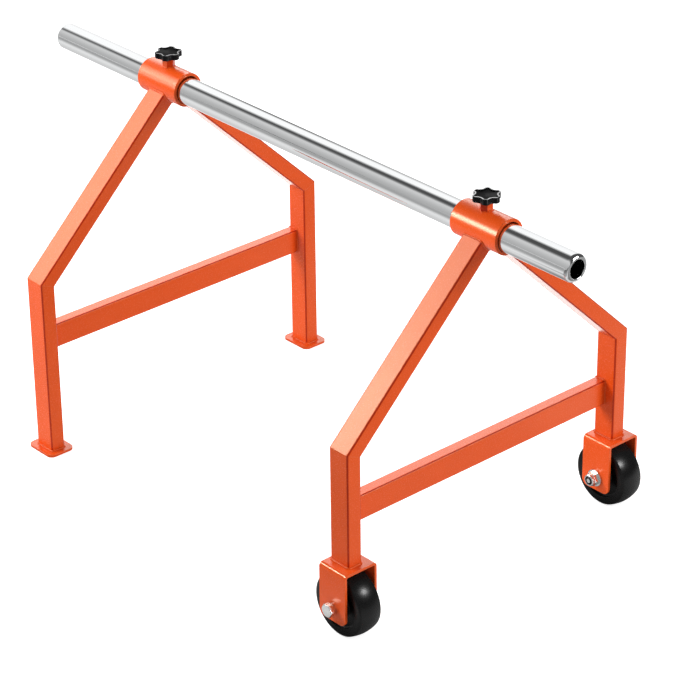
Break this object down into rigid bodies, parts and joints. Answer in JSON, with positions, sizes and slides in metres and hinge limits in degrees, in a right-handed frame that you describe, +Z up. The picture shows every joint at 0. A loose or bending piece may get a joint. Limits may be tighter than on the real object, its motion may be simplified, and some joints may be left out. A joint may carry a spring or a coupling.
{
  "type": "wire spool cart",
  "caption": "Rolling stand with a round bar clamped across two welded tube frames, on which spools of wire turn.",
  "frame": {"origin": "on the floor below the middle of the bar, the centre of the part's footprint box", "axes": "+X along the bar from the frame on feet to the frame on wheels, +Y across the legs, +Z up"},
  "size_m": [1.14, 0.612, 0.5972],
  "materials": {
    "frame": "satin orange powder coat",
    "zinc": "bright zinc plating",
    "lock_ring": "dark nylon",
    "wheel": "moulded, satin",
    "bush": "natural nylon",
    "bar": "polished",
    "knob": "moulded, glossy"
  },
  "bodies": {
    "wheel_frame": {"wheel_front_leg": "frame", "wheel_back_leg": "frame", "wheel_front_strut": "frame", "wheel_back_strut": "frame", "wheel_crossbar": "frame", "wheel_collar": "frame", "wheel_clamp_nut": "frame", "front_fork": "frame", "back_fork": "frame", "front_axle_bolt": "zinc", "front_axle_sleeve": "zinc", "front_washers": "zinc", "front_lock_nut": "zinc", "front_lock_ring": "lock_ring", "back_axle_bolt": "zinc", "back_axle_sleeve": "zinc", "back_washers": "zinc", "back_lock_nut": "zinc", "back_lock_ring": "lock_ring"},
    "bar": {"bar": "bar"},
    "feet_frame": {"feet_front_leg": "frame", "feet_back_leg": "frame", "feet_front_strut": "frame", "feet_back_strut": "frame", "feet_crossbar": "frame", "feet_collar": "frame", "feet_clamp_nut": "frame", "feet_front_plate": "frame", "feet_back_plate": "frame"},
    "front_wheel": {"front_wheel": "wheel", "front_wheel_bush": "bush"},
    "back_wheel": {"back_wheel": "wheel", "back_wheel_bush": "bush"},
    "feet_screw": {"feet_clamp_screw": "zinc"},
    "feet_knob": {"feet_knob": "knob"},
    "wheel_screw": {"wheel_clamp_screw": "zinc"},
    "wheel_knob": {"wheel_knob": "knob"}
  },
  "joints": [
    {"name": "bar_slide", "type": "slide", "parent": "wheel_frame", "child": "bar", "axis": [1, 0, 0], "range_m": [-0.12, 0.2]},
    {"name": "feet_frame_slide", "type": "slide", "parent": "bar", "child": "feet_frame", "axis": [1, 0, 0], "range_m": [-0.2, 0.4]},
    {"name": "front_wheel_spin", "type": "hinge", "parent": "wheel_frame", "child": "front_wheel", "pos_m": [0.3975, -0.2645, 0.051], "axis": [0, 1, 0], "continuous": true},
    {"name": "back_wheel_spin", "type": "hinge", "parent": "wheel_frame", "child": "back_wheel", "pos_m": [0.3975, 0.2645, 0.051], "axis": [0, 1, 0], "continuous": true},
    {"name": "feet_screw_lift", "type": "slide", "parent": "feet_frame", "child": "feet_screw", "axis": [0, 0, 1], "range_m": [0, 0.0075]},
    {"name": "feet_knob_turn", "type": "hinge", "parent": "feet_screw", "child": "feet_knob", "pos_m": [-0.306, 0, 0.58], "axis": [0, 0, 1], "range_deg": [0, 1800]},
    {"name": "wheel_screw_lift", "type": "slide", "parent": "wheel_frame", "child": "wheel_screw", "axis": [0, 0, 1], "range_m": [0, 0.0075]},
    {"name": "wheel_knob_turn", "type": "hinge", "parent": "wheel_screw", "child": "wheel_knob", "pos_m": [0.394, 0, 0.58], "axis": [0, 0, 1], "range_deg": [0, 1800]}
  ],
  "couplings": [
    {"joint": "feet_screw_lift", "follows": "feet_knob_turn", "m_per_rad": 0.00023873},
    {"joint": "wheel_screw_lift", "follows": "wheel_knob_turn", "m_per_rad": 0.00023873}
  ]
}
